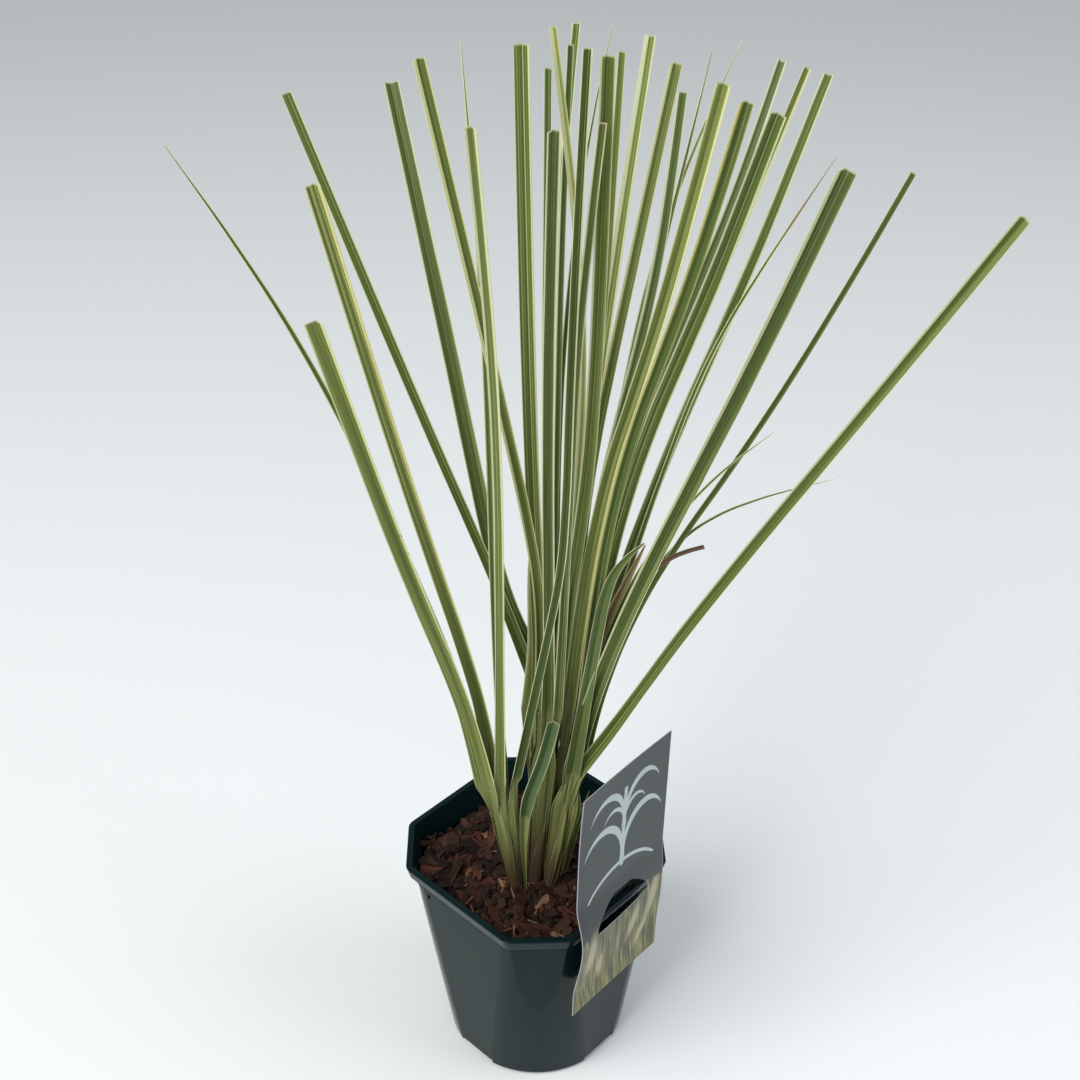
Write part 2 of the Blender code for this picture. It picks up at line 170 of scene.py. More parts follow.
class Finish:
    """A material round one Principled shader."""

    def __init__(self, name, **constants):
        self.material = bpy.data.materials.new(name)
        self.material.use_nodes = True
        self.tree = self.material.node_tree
        self.shader = self.tree.nodes["Principled BSDF"]
        self.feed(**constants)

    def node(self, kind, settings=None, sockets=None, out=0):
        """Adds a node, sets it up, fills its sockets with values or wires, and gives one output."""
        made = self.tree.nodes.new(kind)
        for name, value in (settings or {}).items():
            setattr(made, name, value)
        for name, value in (sockets or {}).items():
            self.fill(made.inputs[name], value)
        return Wire(self, made.outputs[out])

    def fill(self, socket, value):
        """Links a wire to a socket, or sets it to a value."""
        if isinstance(value, Wire):
            self.tree.links.new(value.socket, socket)
        elif isinstance(value, tuple) and len(value) == 3 and len(socket.default_value) == 4:
            socket.default_value = (*value, 1.0)
        else:
            socket.default_value = value

    def feed(self, **sockets):
        """Fills the shader's own sockets."""
        for name, value in sockets.items():
            self.fill(self.shader.inputs[name.replace("_", " ")], value)

    def reckon(self, operation, first, second=0.0):
        """The result of a Math node."""
        return self.node("ShaderNodeMath", {"operation": operation}, {0: first, 1: second})

    def most(self, first, second):
        """The larger of two values."""
        return self.reckon("MAXIMUM", first, second)

    def split(self, vector):
        """The three numbers of a vector."""
        return [self.node("ShaderNodeSeparateXYZ", {}, {0: vector}, axis) for axis in range(3)]

    def vector(self, x, y, z=0.0):
        """A vector of three numbers."""
        return self.node("ShaderNodeCombineXYZ", {}, {0: x, 1: y, 2: z})

    def place(self, map_name="Object"):
        """The place on the piece, in its own frame or on its UV map."""
        return self.node("ShaderNodeTexCoord", out=map_name)

    def stored(self, name):
        """The three numbers that are stored on the piece's points under a name."""
        return self.node("ShaderNodeAttribute", {"attribute_name": name}, out="Vector")

    def spread(self, where, scale):
        """A place stretched by a different amount along each axis."""
        return self.node("ShaderNodeMapping", {}, {"Vector": where, "Scale": scale})

    def mix(self, share, first, second):
        """A colour between two others."""
        return self.node("ShaderNodeMix", {"data_type": "RGBA"}, {0: share, 6: first, 7: second}, 2)

    def ease(self, value, low, high):
        """0 under low, 1 over high, and a soft step between them."""
        settings = {"interpolation_type": "SMOOTHSTEP", "clamp": True}
        return self.node("ShaderNodeMapRange", settings, {0: value, 1: low, 2: high})

    def grain(self, where, scale, detail=3.0, roughness=0.55):
        """Cloudy noise from 0 to 1."""
        sockets = {"Vector": where, "Scale": scale, "Detail": detail, "Roughness": roughness}
        return self.node("ShaderNodeTexNoise", {}, sockets)

    def relief(self, height, depth, strength):
        """A bump of a real depth, in metres, from a height between 0 and 1."""
        sockets = {"Height": height, "Distance": depth, "Strength": strength}
        return self.node("ShaderNodeBump", {}, sockets)


def name_active(name):
    """Names the object that an operator has just made."""
    made = bpy.context.object
    made.name = name
    made.data.name = name
    return made


def choose(*pieces):
    """Selects pieces and nothing else. The first becomes the active one."""
    bpy.ops.object.select_all(action="DESELECT")
    for piece in pieces:
        piece.select_set(True)
    bpy.context.view_layer.objects.active = pieces[0]


def edit(piece):
    """Opens one piece in edit mode, with nothing selected."""
    choose(piece)
    bpy.ops.object.mode_set(mode="EDIT")
    bpy.ops.mesh.select_all(action="DESELECT")


def leave_edit():
    bpy.ops.object.mode_set(mode="OBJECT")


def pick_all():
    bpy.ops.mesh.select_all(action="SELECT")


def bisect(place, way, **more):
    """Cuts all of the piece in edit mode along a plane."""
    pick_all()
    bpy.ops.mesh.bisect(plane_co=place, plane_no=way, **more)


def pick(kind, test):
    """Selects the points, edges or faces (verts, edges, faces) that pass a test."""
    bpy.ops.mesh.select_all(action="DESELECT")
    bpy.ops.mesh.select_mode(type={"verts": "VERT", "edges": "EDGE", "faces": "FACE"}[kind])
    shape = bmesh.from_edit_mesh(bpy.context.object.data)
    for element in getattr(shape, kind):
        if test(element):
            element.select_set(True)
    bmesh.update_edit_mesh(bpy.context.object.data)


def apply_all(piece):
    """Applies a piece's modifiers and puts its place in its mesh."""
    choose(piece)
    for modifier in list(piece.modifiers):
        bpy.ops.object.modifier_apply(modifier=modifier.name)
    bpy.ops.object.transform_apply(location=True, rotation=True, scale=True)


def combine(piece, other, operation):
    """Joins another closed shape to a piece or cuts it out, and removes it."""
    boolean = piece.modifiers.new(operation, "BOOLEAN")
    boolean.operation = operation
    boolean.object = other
    apply_all(piece)
    bpy.data.objects.remove(other)


def drafted(reach_low, low, reach_high, high):
    """A flat's reach at the floor and its growth, from its reach at two heights."""
    growth = (reach_high - reach_low) / (high - low)
    return (reach_low - growth * low, growth)


def inset(depth):
    """The body's cone, long flats and short flats, moved in."""
    return [(reach - depth, growth) for reach, growth in (CONE, SIDE, CHAMFER)]


def rounding_reach(offset, z):
    """Reach of a plane that rounds the crease between a long flat and the cone, at a height."""
    side = SIDE[0] + SIDE[1] * z - ROUNDING
    cone = CONE[0] + CONE[1] * z - ROUNDING
    return ROUNDING + cone * cos(max(0.0, acos(side / cone) - offset))


def cut_flat(piece, angle, flat, low):
    """Cuts a leaning flat on a piece. Its reach is given at the floor, with its growth."""
    reach, growth = flat
    lean = atan(growth)
    way = Vector((cos(angle), sin(angle), 0))
    bisect(way * (reach + growth * low) + Vector((0, 0, low)),
           way * cos(lean) - Vector((0, 0, sin(lean))),
           use_fill=True, clear_outer=True, threshold=1e-6)


def flat_sided(name, low, high, cone, side, chamfer, rounded=False):
    """A cone from one height to another with eight flats. Each reach is (at the floor, growth)."""
    bpy.ops.mesh.primitive_cone_add(vertices=CONE_SIDES, radius1=cone[0] + cone[1] * low,
                                    radius2=cone[0] + cone[1] * high, depth=high - low,
                                    location=(0, 0, (low + high) / 2), rotation=(0, 0, POT_TURN))
    piece = name_active(name)
    edit(piece)
    for eighth in range(8):
        angle = POT_TURN + radians(45 * eighth)
        cut_flat(piece, angle, side if eighth % 2 else chamfer, low)
        if rounded and eighth % 2:
            for step in range(1, ROUNDING_STEPS + 1):
                offset = ROUNDING_END * step / ROUNDING_STEPS
                reach = rounding_reach(offset, ROUNDING_LOW)
                flat = drafted(reach, ROUNDING_LOW, rounding_reach(offset, high), high)
                cut_flat(piece, angle + offset, flat, low)
                cut_flat(piece, angle - offset, flat, low)
    pick("verts", lambda point: point.co.z < low + NEAR)
    bpy.ops.mesh.remove_doubles(threshold=SLIVER)
    leave_edit()
    apply_all(piece)
    return piece


def bevel_edges(piece, test, width, segments):
    """Rounds the edges that pass a test."""
    edit(piece)
    pick("edges", test)
    bpy.ops.mesh.bevel(offset=width, segments=segments, profile=0.5, clamp_overlap=True)
    leave_edit()


def level(height):
    """Tests whether both ends of an edge are at a height."""
    return lambda edge: all(abs(end.co.z - height) < NEAR / 2 for end in edge.verts)


def climbs(height):
    """Tests whether an edge climbs by more than a height."""
    return lambda edge: abs(edge.verts[0].co.z - edge.verts[1].co.z) > height


def at_mouth(edge):
    """Whether an edge runs round the pot's mouth, on the inner side of its lip."""
    side, chamfer = RIM_SIDE - 3 * MM, RIM_CHAMFER - 3 * MM
    return level(POT_HEIGHT)(edge) and all(
        end.co.xy.length < chamfer and abs(end.co.x) + abs(end.co.y) < side * sqrt(2)
        for end in edge.verts)


pot = flat_sided("nursery_pot", 0.0, NECK_FOOT, CONE, SIDE, CHAMFER, rounded=True)
bevel_edges(pot, level(0.0), *FOOT_EDGE)
edit(pot)
pick("faces", lambda face: face.normal.z > 0.9)
bpy.ops.mesh.extrude_region_move(TRANSFORM_OT_translate={"value": (0, 0, NECK_FLARE)})
wider = 1 + NECK_STEP / RIM_SIDE
bpy.ops.transform.resize(value=(wider, wider, 1))
bpy.ops.mesh.extrude_region_move(TRANSFORM_OT_translate={"value": (0, 0, LIP_FOOT - NECK_FOOT)})
leave_edit()

flats = [drafted(rim - LIP_DRAFT, LIP_FOOT, rim, POT_HEIGHT) for rim in (RIM_SIDE, RIM_CHAMFER)]
lip = flat_sided("lip", LIP_FOOT, POT_HEIGHT, OPEN_CONE, *flats)
bevel_edges(lip, climbs(2 * MM), *LIP_CORNER)
bevel_edges(lip, level(POT_HEIGHT), *LIP_TOP_EDGE)
bevel_edges(lip, level(LIP_FOOT), *LIP_FOOT_EDGE)
combine(pot, lip, "UNION")

cutter_top = POT_HEIGHT + CUTTER_OVER
combine(pot, flat_sided("inside", POT_FLOOR, cutter_top, *inset(WALL)), "DIFFERENCE")
flats = [drafted(reach + growth * INNER_TOP, INNER_TOP, rim - LIP_WIDTH, POT_HEIGHT)
         for (reach, growth), rim in zip(inset(WALL)[1:], (RIM_SIDE, RIM_CHAMFER))]
combine(pot, flat_sided("mouth", INNER_TOP, cutter_top, OPEN_CONE, *flats), "DIFFERENCE")
bevel_edges(pot, at_mouth, *MOUTH_EDGE)

DRAIN_SLOT = (16.0 * MM, 34.0 * MM, 13.2 * MM)  # depth, width, and twice the slot's height
DRAIN_REACH = 67.0 * MM
HANGER_HOLE = (12.0 * MM, 2.6 * MM, 4.4 * MM)  # a small slot through the wall under the lip
HANGER_HEIGHT = 158.5 * MM
HANGER_PLACE = (SIDE[0] + SIDE[1] * HANGER_HEIGHT, -35.0 * MM, HANGER_HEIGHT)


def add_cutter(size, place, turn):
    """A box that is turned about the pot's axis."""
    bpy.ops.mesh.primitive_cube_add(size=1)
    cutter = name_active("cutter")
    cutter.data.transform(Matrix.Rotation(turn, 4, "Z") @ Matrix.Translation(place)
                          @ Matrix.Diagonal((*size, 1)))
    return cutter


for quarter in range(4):
    turn = POT_TURN + radians(45 + 90 * quarter)
    combine(pot, add_cutter(DRAIN_SLOT, (DRAIN_REACH, 0, 0), turn), "DIFFERENCE")
combine(pot, add_cutter(HANGER_HOLE, HANGER_PLACE, POT_TURN + radians(225)), "DIFFERENCE")
bpy.ops.object.shade_smooth_by_angle(angle=POT_CREASE)


def short_flat(face):
    """Whether a face is one of the four short flats of the body."""
    turn = degrees(atan2(face.normal.y, face.normal.x) - POT_TURN) % 90
    on_body = abs(face.normal.z) < 0.2 and face.calc_center_median().z < NECK_FOOT
    return on_body and min(turn, 90 - turn) < 0.5 and face.calc_area() > (20 * MM) ** 2


edit(pot)
pick("edges", lambda edge: any(short_flat(face) for face in edge.link_faces))
bpy.ops.mesh.mark_sharp()
leave_edit()
pot.modifiers.new("even_normals", "WEIGHTED_NORMAL").keep_sharp = True
apply_all(pot)

gloss = Finish("glossy_pot_plastic", IOR=1.49, Specular_IOR_Level=0.12)
where = gloss.place()
dust = gloss.ease(gloss.grain(where, 38.0, 6.0, 0.7), 0.52, 0.80)
scuffs = gloss.ease(gloss.grain(gloss.spread(where, (1.0, 1.0, 0.16)), 420.0, 4.0), 0.60, 0.75)
ripple = gloss.grain(where, 55.0, 1.0)
colour = gloss.mix(dust * 0.06 + scuffs * 0.03, (0.0030, 0.0125, 0.0130), (0.06, 0.07, 0.07))
gloss.feed(Base_Color=colour, Roughness=0.13 + dust * 0.16 + scuffs * 0.14,
           Normal=gloss.relief(ripple, 0.35 * MM, 0.35))
pot.data.materials.clear()
pot.data.materials.append(gloss.material)
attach(pot, "root")
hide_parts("pot")


# Bark mulch on compost.
# Dark compost fills the pot. Over it lies a mulch of red brown pine bark chips with fine crumb and
# a few pale straws, loose, level at the shoots and heaped up to the rim on the left.
BARK_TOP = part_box("shoot_left")[0].z
COMPOST_FOOT = 2.8 * MM
COMPOST_GAP = 2.8 * MM  # from the outside of the pot's wall
COMPOST_DROP = 5.0 * MM  # from the top of the mulch to the compost
HEAP = 12.0 * MM
HEAP_WAY = radians(186)
HEAP_START = 36.0 * MM
LUMP = 5.0 * MM  # how far the compost rises and falls, and over what width
LUMP_WIDTH = 7.0 * MM
COMPOST_GRID = 6.0 * MM
MULCH_HALF = 88.0 * MM  # the chips are tried within this square
CHIP_ROOM = 0.42  # the share of its length that a chip keeps clear of the wall
CHIP_KINDS = 8
CHIPS = 1350
CRUMBS = 700
STRAWS = 30


def clamp(value):
    """A value held between 0 and 1."""
    return min(1.0, max(0.0, value))


def heap_at(x, y):
    """How far the mulch is heaped at a place, from 0 to 1."""
    spread = (hypot(x, y) - HEAP_START) / (RIM_SIDE - HEAP_START)
    return clamp(spread) * clamp(cos(atan2(y, x) - HEAP_WAY)) ** 4


def room_at(x, y, z):
    """Distance from a place to the inside of the pot's wall."""
    cone, side, chamfer = [reach + growth * z for reach, growth in inset(WALL)]
    room = cone - hypot(x, y)
    for eighth in range(8):
        angle = POT_TURN + radians(45 * eighth)
        flat = side if eighth % 2 else chamfer
        room = min(room, flat - x * cos(angle) - y * sin(angle))
    return room


def push(piece, name, axis, distance, share_at, texture=None):
    """Moves points along an axis, by a distance, each point's share of it, and a texture too."""
    layer = piece.vertex_groups.new(name=name)
    for point in piece.data.vertices:
        layer.add([point.index], share_at(point.co), "REPLACE")
    move = piece.modifiers.new(name, "DISPLACE")
    move.vertex_group = name
    move.direction = axis
    move.strength = distance
    move.mid_level = 0.5 if texture else 0.0
    move.texture = texture


def copy_of(piece, name):
    """A copy with a mesh of its own."""
    double = piece.copy()
    double.data = piece.data.copy()
    double.name = double.data.name = name
    bpy.context.scene.collection.objects.link(double)
    return double


def store(piece, name, rows):
    """Stores three numbers on each point of a piece for its material."""
    layer = piece.data.attributes.new(name, "FLOAT_VECTOR", "POINT")
    for value, row in zip(layer.data, rows):
        value.vector = row


def paint(piece, name, row):
    """Stores the same three numbers on all points of a piece."""
    store(piece, name, [row] * len(piece.data.vertices))


def keep_places(piece, shift):
    """Stores where a piece's points are now, moved by a shift, for its grain."""
    store(piece, "rest", [point.co + shift for point in piece.data.vertices])


def join(pieces, name):
    """Makes one piece of several."""
    choose(*pieces)
    bpy.ops.object.join()
    return name_active(name)


compost_top = BARK_TOP - COMPOST_DROP
compost = flat_sided("compost", COMPOST_FOOT, compost_top, *inset(COMPOST_GAP))
edit(compost)
for cut in range(-14, 15):
    for way in (Vector((1, 0, 0)), Vector((0, 1, 0))):
        bisect(way * cut * COMPOST_GRID, way)
leave_edit()
push(compost, "heap", "Z", HEAP,
     lambda point: heap_at(point.x, point.y) if point.z > compost_top - MM else 0.0)
lumps = bpy.data.textures.new("lumps", "CLOUDS")
lumps.noise_scale = LUMP_WIDTH
push(compost, "lumps", "Z", LUMP, lambda point: float(point.z > compost_top - MM), lumps)
apply_all(compost)
bpy.ops.object.shade_smooth()
paint(compost, "shade", (0.0, 0.0, 0.0))
keep_places(compost, Vector())

dice = random.Random(5)
chip_kinds = []
for kind in range(CHIP_KINDS):
    bpy.ops.mesh.primitive_cube_add(size=1)
    chip = name_active("chip_kind")
    edit(chip)
    pick_all()
    bpy.ops.mesh.subdivide(number_cuts=1)
    bpy.ops.transform.vertex_random(offset=0.13, seed=kind)
    for end in (-1, 1):
        way = (end, dice.uniform(-0.9, 0.9), dice.uniform(-0.6, 0.6))
        bisect((0.36 * end, 0, 0), way, use_fill=True, clear_outer=True)
    leave_edit()
    chip_kinds.append(chip)
bpy.ops.mesh.primitive_cylinder_add(vertices=5, radius=0.5, depth=1, rotation=(0, radians(90), 0))
straw_kind = name_active("straw_kind")
edit(straw_kind)
pick("edges", climbs(0.5))
bpy.ops.mesh.subdivide(number_cuts=3)
pick_all()
bpy.ops.transform.vertex_random(offset=0.10, seed=3)
leave_edit()
apply_all(straw_kind)

pieces = [compost]


def add_chip(kind, size, place, lean, shade):
    """One chip or straw of a size, laid at a place and leant by two angles, in its own colour."""
    chip = copy_of(kind, "chip")
    chip.data.transform(Matrix.Diagonal((*size, 1)))
    keep_places(chip, Vector([dice.uniform(-1, 1) for axis in range(3)]))
    paint(chip, "shade", shade)
    turn = Matrix.Rotation(dice.uniform(0, 2 * pi), 4, "Z")
    chip.data.transform(Matrix.Translation(place) @ turn @ Matrix.Rotation(lean[0], 4, "Y")
                        @ Matrix.Rotation(lean[1], 4, "X"))
    pieces.append(chip)


def lay(length, height):
    """A free place on the mulch for a chip of a length, or nothing."""
    x, y = dice.uniform(-MULCH_HALF, MULCH_HALF), dice.uniform(-MULCH_HALF, MULCH_HALF)
    z = BARK_TOP + HEAP * heap_at(x, y) + height
    if room_at(x, y, z) < CHIP_ROOM * length + MM:
        return None
    return Vector((x, y, z))


def scatter(number, make):
    """Lays chips until a number of them has found a free place. Each is made from its share."""
    laid = 0
    while laid < number:
        laid += bool(make(laid / number))


def make_chip(share):
    length = dice.uniform(5.0, 11.0) * MM if dice.random() < 0.62 else dice.uniform(11.0, 20.0) * MM
    place = lay(length, (-4.5 + 4.7 * share) * MM + dice.uniform(-0.6, 0.6) * MM)
    if place:
        size = (length * 1.25, length * dice.uniform(0.3, 0.65), length * dice.uniform(0.10, 0.26) + MM)
        steep = dice.random() < 0.10
        lean = (radians(dice.gauss(0, 38 if steep else 15)), radians(dice.gauss(0, 30)))
        shade = (dice.random() ** 1.4, dice.random(), 1.0 if dice.random() < 0.02 else 0.0)
        add_chip(dice.choice(chip_kinds), size, place, lean, shade)
    return place


def make_crumb(share):
    length = dice.uniform(1.6, 4.5) * MM
    place = lay(length, dice.uniform(-3.0, 1.0) * MM)
    if place:
        size = (length, length * dice.uniform(0.4, 0.9), length * dice.uniform(0.3, 0.6))
        lean = (dice.uniform(-1, 1), dice.uniform(-1, 1))
        kind = dice.choice(chip_kinds)
        add_chip(kind, size, place, lean, (dice.random() * 0.8, dice.random(), 0.0))
    return place


def make_straw(share):
    length = dice.uniform(9.0, 27.0) * MM
    place = lay(length, dice.uniform(0.0, 2.2) * MM)
    if place:
        thick = dice.uniform(0.7, 1.5) * MM
        lean = (radians(dice.gauss(0, 9)), 0.0)
        shade = (0.9, 0.4, dice.uniform(0.5, 1.0))
        add_chip(straw_kind, (length, thick, thick * 0.6), place, lean, shade)
    return place


scatter(CHIPS, make_chip)
scatter(CRUMBS, make_crumb)
scatter(STRAWS, make_straw)
mulch = join(pieces, "bark_and_compost")
for kind in chip_kinds + [straw_kind]:
    bpy.data.objects.remove(kind)

bark = Finish("pine_bark", IOR=1.45, Specular_IOR_Level=0.28)
rest = bark.stored("rest")
tone, warmth, pale = bark.split(bark.stored("shade"))
fibre = bark.grain(bark.spread(rest, (0.22, 1.0, 1.0)), 900.0, 5.0, 0.65)
blotch = bark.grain(rest, 130.0, 3.0)
layer = bark.grain(bark.spread(rest, (0.3, 0.3, 1.6)), 420.0, 3.0)
dark_bark = bark.mix(warmth, (0.006, 0.0035, 0.0025), (0.010, 0.0045, 0.003))
red_bark = bark.mix(warmth, (0.036, 0.016, 0.011), (0.082, 0.025, 0.013))
tan_wood = bark.mix(warmth, (0.20, 0.11, 0.065), (0.24, 0.13, 0.075))
redness = bark.ease(tone + (blotch - 0.5) * 0.9 + (fibre - 0.5) * 0.7, -0.15, 1.0)
colour = bark.mix(redness, dark_bark, red_bark)
colour = bark.mix(bark.ease(pale + (blotch - 0.5) * 0.5, 0.3, 0.9), colour, tan_wood)
colour = bark.mix(bark.ease(layer, 0.56, 0.72) * 0.30, colour, (0.11, 0.047, 0.028))
bark.feed(Base_Color=colour, Roughness=0.78 + (fibre - 0.5) * 0.3,
          Normal=bark.relief(fibre * 0.6 + layer * 0.4, 0.7 * MM, 0.7))
mulch.data.materials.clear()
mulch.data.materials.append(bark.material)
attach(mulch, "root")
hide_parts("bark_mulch")


# Leaf sheaths.
# The foot of every leaf is a sheath that is rolled round the younger leaves inside it. Together
# they are the five shoots, olive green with pale edges, and purple brown where they leave the bark.
# Their greens are set lighter at the tops and darker low down: partly painted light and shade.
SHEATH_ROOTS = 6 * MM  # how far a sheath reaches down into the bark
SHEATH_WIDTHS = (6.5, 10.5, 13.0, 12.0, 3.0)  # mm, from the foot up
INNER_WIDTHS = (7.0, 11.0, 15.5, 19.0, 6.0)
SCALE_WIDTHS = (6.5, 11.0, 11.5, 8.0, 1.0)
SCALES = 5  # short old leaf feet round each shoot
INNERS = 3  # rolled young leaves in the middle of each shoot
INNER_RING = 0.4  # where they stand, between the shoot's middle and its outside
SCALE_RING = 0.9
INNER_REACH = 0.98  # how far they rise, against the shoot
SHEATH_THICK = 0.5 * MM
STRIP_COLUMNS = 10
SHEATH_ROWS = 26
RING_POINTS = 6  # points in each section of a leaf's CAD node
LEAF_CREASE = radians(50)
SHOOTS = {"left": 6, "front": 7, "back": 8, "right": 15, "outer": 4}  # and their leaves
SHARES = (0.0, 0.25, 0.5, 0.75, 1.0)  # where a sheath's sections are, along it


def add_blank(name, rows, section):
    """A strip of leaf, one metre long and wide. Its section gives the rise from middle to edge."""
    bpy.ops.mesh.primitive_grid_add(x_subdivisions=STRIP_COLUMNS, y_subdivisions=rows, size=1)
    blank = name_active(name)
    edit(blank)
    for column in range(STRIP_COLUMNS + 1):
        across = column / STRIP_COLUMNS - 0.5
        pick("verts", lambda point: abs(point.co.x - across) < 0.01)
        bpy.ops.transform.translate(value=(0, 0, section(abs(across) * 2)))
    leave_edit()
    return blank


def bend_along(strip, places, sides, widths, kink=None):
    """Bends a strip along a route and widens it. Its cross direction is turned to the given sides.

    The route is smooth but for the place that the kink numbers.
    """
    bpy.ops.curve.primitive_bezier_curve_add()
    route = bpy.context.object
    route.data.twist_mode = "MINIMUM"
    route.data.use_stretch = True
    route.data.use_deform_bounds = True
    points = route.data.splines[0].bezier_points
    points.add(len(places) - 2)
    for number, (point, place, width) in enumerate(zip(points, places, widths)):
        point.co = place
        point.handle_left_type = point.handle_right_type = "VECTOR" if number == kink else "AUTO"
        point.radius = width
    bend = strip.modifiers.new("bend", "CURVE")
    bend.object = route
    bend.deform_axis = "POS_Y"
    bent = strip.evaluated_get(bpy.context.evaluated_depsgraph_get()).data.vertices
    step = STRIP_COLUMNS + 1
    rows = [(bent[i].co.copy(), bent[i + STRIP_COLUMNS].co.copy()) for i in range(0, len(bent), step)]
    middles = [(left + right) / 2 for left, right in rows]
    for point, side in zip(points, sides):
        near = min(range(len(rows)), key=lambda row: (middles[row] - point.co).length)
        along = (middles[min(near + 1, len(rows) - 1)] - middles[max(near - 1, 0)]).normalized()
        now = rows[near][1] - rows[near][0]
        want = side - along * side.dot(along)
        point.tilt = atan2(along.dot(now.cross(want)), now.dot(want))
    apply_all(strip)
    bpy.data.objects.remove(route)


def thicken(piece, thickness, offset=0.0, even=False):
    """Gives a sheet its thickness: half to each side, or all to one with an offset of 1 or -1."""
    wall = piece.modifiers.new("thickness", "SOLIDIFY")
    wall.thickness = thickness
    wall.offset = offset
    wall.use_even_offset = even
    apply_all(piece)


def age_rows(strip, rows, age_at):
    """Stores how withered and how sheath-like each row of a strip is."""
    row_of = [index // (STRIP_COLUMNS + 1) for index in range(len(strip.data.vertices))]
    store(strip, "age", [age_at(row / rows) for row in row_of])


def ends_of(node):
    """Centre and half size of a shoot at its foot and at its top, from its CAD node."""
    points = [point.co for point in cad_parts[node].data.vertices]
    ends = []
    for height in (min(p.z for p in points), max(p.z for p in points)):
        ring = [p for p in points if abs(p.z - height) < NEAR]
        low = Vector([min(p[axis] for p in ring) for axis in range(3)])
        high = Vector([max(p[axis] for p in ring) for axis in range(3)])
        ends.append(((low + high) / 2, (high - low) / 2))
    return ends


def route_of(node):
    """Places, cross directions and widths of a leaf's sections, read from its CAD node."""
    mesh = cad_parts[node].data
    points = {tuple(round(value, 6) for value in point.co) for point in mesh.vertices}
    points = [Vector(point) for point in sorted(points, key=lambda point: point[2])]
    places, sides, widths = [], [], []
    for first in range(0, len(points), RING_POINTS):
        ring = points[first:first + RING_POINTS]
        middle = sum(ring, Vector()) / RING_POINTS
        edge = max(ring, key=lambda point: (point - middle).length)
        ring.sort(key=lambda point: (point - edge).length)
        across = (ring[4] + ring[5] - ring[0] - ring[1]) / 2
        places.append(middle)
        sides.append(across if across.x > 0 else -across)
        widths.append(across.length)
    return places, sides, widths


sheath_blank = add_blank("sheath_blank", SHEATH_ROWS, lambda edge: -0.45 * edge ** 2)
dice = random.Random(11)
UP = Vector((0, 0, 1))
feet = {}  # the two places in its sheath that each leaf's blade starts from


def round_spot(turns, ring):
    """A spot at a share of the way from a shoot's middle to its outside."""
    return Vector((cos(2 * pi * turns), sin(2 * pi * turns))) * ring


def add_sheath(foot, top, spot, reach, widths, looks):
    """One sheath, rooted in the bark and rising to a share of the shoot, at a spot round its middle."""
    outward = Vector((spot.x, spot.y, 0)).normalized()
    outward.rotate(Matrix.Rotation(dice.uniform(-0.25, 0.25), 3, "Z"))
    places = []
    for share in SHARES:
        half = foot[1].lerp(top[1], share * reach)
        place = foot[0].lerp(top[0], share * reach) + Vector((spot.x * half.x, spot.y * half.y, 0))
        places.append(place - UP * SHEATH_ROOTS * (1.0 - share))
    sheath = copy_of(sheath_blank, "sheath")
    bend_along(sheath, places, [UP.cross(outward)] * len(places), [width * MM for width in widths])
    margin, tone, rib, withered = looks
    paint(sheath, "trim", (margin, margin * 0.8, 0.25))
    paint(sheath, "flesh", (tone, rib, dice.uniform(0, 9)))
    paint(sheath, "streaks", (0.25, 0.0, 0.0))
    age_rows(sheath, SHEATH_ROWS, lambda share: (withered * share ** 0.5, 1.0 - share * reach, 0.0))
    sheaths.append(sheath)
    return [places[3] - outward * MM, places[4] - outward * MM]


for shoot, leaves in SHOOTS.items():
    foot, top = ends_of("shoot_" + shoot)
    sheaths = []
    for number in range(1, leaves + 1):
        leaf = "%s_leaf_%d" % (shoot, number)
        leaf_foot = route_of(leaf)[0][0]
        spot = Vector(((leaf_foot.x - top[0].x) / top[1].x, (leaf_foot.y - top[0].y) / top[1].y))
        swell = dice.uniform(0.85, 1.15)
        reach = dice.uniform(0.80, 1.0)
        looks = (dice.uniform(0.0, 0.05), dice.uniform(0.35, 0.95), dice.uniform(0, 0.3), 0.0)
        widths = [width * swell for width in SHEATH_WIDTHS]
        feet[leaf] = add_sheath(foot, top, spot, reach, widths, looks)
    for inner in range(INNERS):
        spot = round_spot((inner + 0.75) / INNERS, INNER_RING)
        looks = (0.0, dice.uniform(0.6, 1.0), 0.0, 0.0)
        add_sheath(foot, top, spot, INNER_REACH, INNER_WIDTHS, looks)
    for scale in range(SCALES):
        spot = round_spot((scale + dice.uniform(-0.3, 0.3)) / SCALES, SCALE_RING)
        reach = dice.uniform(0.35, 0.8)
        looks = (0.05, dice.uniform(0.1, 0.5), 0.0, dice.uniform(0.0, 0.8))
        add_sheath(foot, top, spot, reach, SCALE_WIDTHS, looks)
    bundle = join(sheaths, "sheaths_" + shoot)
    thicken(bundle, SHEATH_THICK)
    bpy.ops.object.shade_smooth_by_angle(angle=LEAF_CREASE)
    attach(bundle, "root")
    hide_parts("shoot_" + shoot)
bpy.data.objects.remove(sheath_blank)


